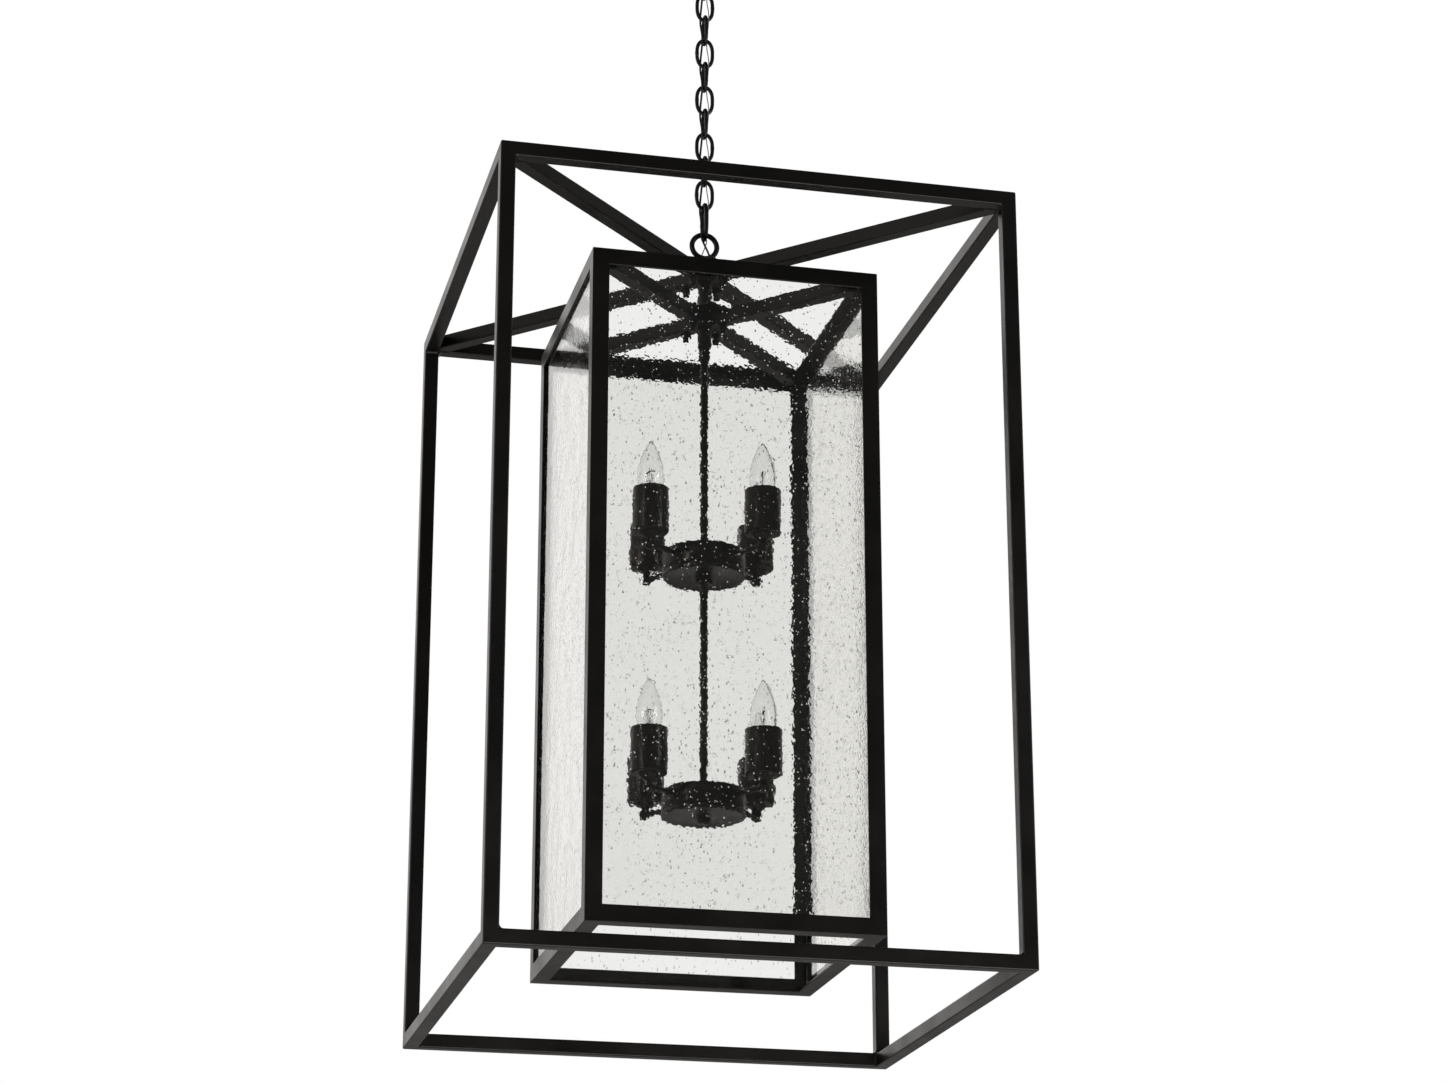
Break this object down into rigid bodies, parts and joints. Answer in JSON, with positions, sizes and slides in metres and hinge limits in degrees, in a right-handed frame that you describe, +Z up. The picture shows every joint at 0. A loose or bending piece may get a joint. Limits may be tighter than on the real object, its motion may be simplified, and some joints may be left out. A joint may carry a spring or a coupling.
{
  "type": "hanging lantern",
  "caption": "Tall open cage lantern of square tube round a glazed inner cage, with two lamp clusters on one stem, hung by a chain from a ceiling canopy.",
  "frame": {"origin": "middle of the mounting strap's flat top, on the ceiling", "axes": "+Z up, through the ceiling; the lantern hangs down along -Z, and -Y is the front"},
  "size_m": [0.61, 0.61, 1.373],
  "materials": {
    "black_steel": "satin black powder coat",
    "seeded_glass": "clear, with small bubbles",
    "bulb_glass": "clear, unlit",
    "zinc_steel": "bright zinc plate",
    "black_lead": "black vinyl sleeve",
    "pale_lead": "clear vinyl over bright wire"
  },
  "bodies": {
    "canopy": {"mounting_strap": "zinc_steel", "ceiling_canopy": "black_steel", "canopy_loop": "black_steel", "supply_lead": "black_lead", "ground_lead": "pale_lead"},
    "chain_link_01": {"chain_link_01": "black_steel"},
    "chain_link_02": {"chain_link_02": "black_steel"},
    "chain_link_03": {"chain_link_03": "black_steel"},
    "chain_link_04": {"chain_link_04": "black_steel"},
    "chain_link_05": {"chain_link_05": "black_steel"},
    "chain_link_06": {"chain_link_06": "black_steel"},
    "chain_link_07": {"chain_link_07": "black_steel"},
    "chain_link_08": {"chain_link_08": "black_steel"},
    "chain_link_09": {"chain_link_09": "black_steel"},
    "connector_link": {"connector_link": "black_steel"},
    "lantern": {"lantern_loop": "black_steel", "outer_hub_plate": "black_steel", "outer_top_frame": "black_steel", "outer_lower_frame": "black_steel", "inner_hub_plate": "black_steel", "inner_top_frame": "black_steel", "inner_lower_frame": "black_steel", "front_pane": "seeded_glass", "back_pane": "seeded_glass", "left_pane": "seeded_glass", "right_pane": "seeded_glass", "upper_spacer": "black_steel", "lower_spacer": "black_steel", "stem_coupling": "black_steel", "upper_rod": "black_steel", "lower_rod": "black_steel", "finial": "black_steel", "upper_pan": "black_steel", "upper_pan_lid": "black_steel", "lower_pan": "black_steel", "lower_pan_lid": "black_steel", "upper_lamp_arm_1": "black_steel", "upper_lamp_arm_2": "black_steel", "upper_lamp_arm_3": "black_steel", "upper_lamp_arm_4": "black_steel", "upper_lamp_cover_1": "black_steel", "upper_lamp_cover_2": "black_steel", "upper_lamp_cover_3": "black_steel", "upper_lamp_cover_4": "black_steel", "lower_lamp_arm_1": "black_steel", "lower_lamp_arm_2": "black_steel", "lower_lamp_arm_3": "black_steel", "lower_lamp_arm_4": "black_steel", "lower_lamp_cover_1": "black_steel", "lower_lamp_cover_2": "black_steel", "lower_lamp_cover_3": "black_steel", "lower_lamp_cover_4": "black_steel"},
    "upper_bulb_1": {"upper_bulb_1": "bulb_glass"},
    "upper_bulb_2": {"upper_bulb_2": "bulb_glass"},
    "upper_bulb_3": {"upper_bulb_3": "bulb_glass"},
    "upper_bulb_4": {"upper_bulb_4": "bulb_glass"},
    "lower_bulb_1": {"lower_bulb_1": "bulb_glass"},
    "lower_bulb_2": {"lower_bulb_2": "bulb_glass"},
    "lower_bulb_3": {"lower_bulb_3": "bulb_glass"},
    "lower_bulb_4": {"lower_bulb_4": "bulb_glass"}
  },
  "joints": [
    {"name": "chain_link_01_swing", "type": "hinge", "parent": "canopy", "child": "chain_link_01", "pos_m": [0, 0, -0.0668], "axis": [0, 1, 0], "range_deg": [-12, 12], "deforming": ["supply_lead", "ground_lead"]},
    {"name": "chain_link_02_swing", "type": "hinge", "parent": "chain_link_01", "child": "chain_link_02", "pos_m": [0, 0, -0.09945], "axis": [1, 0, 0], "range_deg": [-12, 12]},
    {"name": "chain_link_03_swing", "type": "hinge", "parent": "chain_link_02", "child": "chain_link_03", "pos_m": [0, 0, -0.13225], "axis": [0, 1, 0], "range_deg": [-12, 12]},
    {"name": "chain_link_04_swing", "type": "hinge", "parent": "chain_link_03", "child": "chain_link_04", "pos_m": [0, 0, -0.16505], "axis": [1, 0, 0], "range_deg": [-12, 12]},
    {"name": "chain_link_05_swing", "type": "hinge", "parent": "chain_link_04", "child": "chain_link_05", "pos_m": [0, 0, -0.19785], "axis": [0, 1, 0], "range_deg": [-12, 12]},
    {"name": "chain_link_06_swing", "type": "hinge", "parent": "chain_link_05", "child": "chain_link_06", "pos_m": [0, 0, -0.23065], "axis": [1, 0, 0], "range_deg": [-12, 12]},
    {"name": "chain_link_07_swing", "type": "hinge", "parent": "chain_link_06", "child": "chain_link_07", "pos_m": [0, 0, -0.26345], "axis": [0, 1, 0], "range_deg": [-12, 12]},
    {"name": "chain_link_08_swing", "type": "hinge", "parent": "chain_link_07", "child": "chain_link_08", "pos_m": [0, 0, -0.29625], "axis": [1, 0, 0], "range_deg": [-12, 12]},
    {"name": "chain_link_09_swing", "type": "hinge", "parent": "chain_link_08", "child": "chain_link_09", "pos_m": [0, 0, -0.32905], "axis": [0, 1, 0], "range_deg": [-12, 12]},
    {"name": "connector_link_swing", "type": "hinge", "parent": "chain_link_09", "child": "connector_link", "pos_m": [0, 0, -0.36185], "axis": [1, 0, 0], "range_deg": [-12, 12]},
    {"name": "lantern_swing", "type": "hinge", "parent": "connector_link", "child": "lantern", "pos_m": [0, 0, -0.40295], "axis": [0, 1, 0], "range_deg": [-12, 12]},
    {"name": "upper_bulb_1_lift", "type": "slide", "parent": "lantern", "child": "upper_bulb_1", "axis": [0, 0, 1], "range_m": [0, 0.03]},
    {"name": "upper_bulb_2_lift", "type": "slide", "parent": "lantern", "child": "upper_bulb_2", "axis": [0, 0, 1], "range_m": [0, 0.03]},
    {"name": "upper_bulb_3_lift", "type": "slide", "parent": "lantern", "child": "upper_bulb_3", "axis": [0, 0, 1], "range_m": [0, 0.03]},
    {"name": "upper_bulb_4_lift", "type": "slide", "parent": "lantern", "child": "upper_bulb_4", "axis": [0, 0, 1], "range_m": [0, 0.03]},
    {"name": "lower_bulb_1_lift", "type": "slide", "parent": "lantern", "child": "lower_bulb_1", "axis": [0, 0, 1], "range_m": [0, 0.03]},
    {"name": "lower_bulb_2_lift", "type": "slide", "parent": "lantern", "child": "lower_bulb_2", "axis": [0, 0, 1], "range_m": [0, 0.03]},
    {"name": "lower_bulb_3_lift", "type": "slide", "parent": "lantern", "child": "lower_bulb_3", "axis": [0, 0, 1], "range_m": [0, 0.03]},
    {"name": "lower_bulb_4_lift", "type": "slide", "parent": "lantern", "child": "lower_bulb_4", "axis": [0, 0, 1], "range_m": [0, 0.03]}
  ]
}
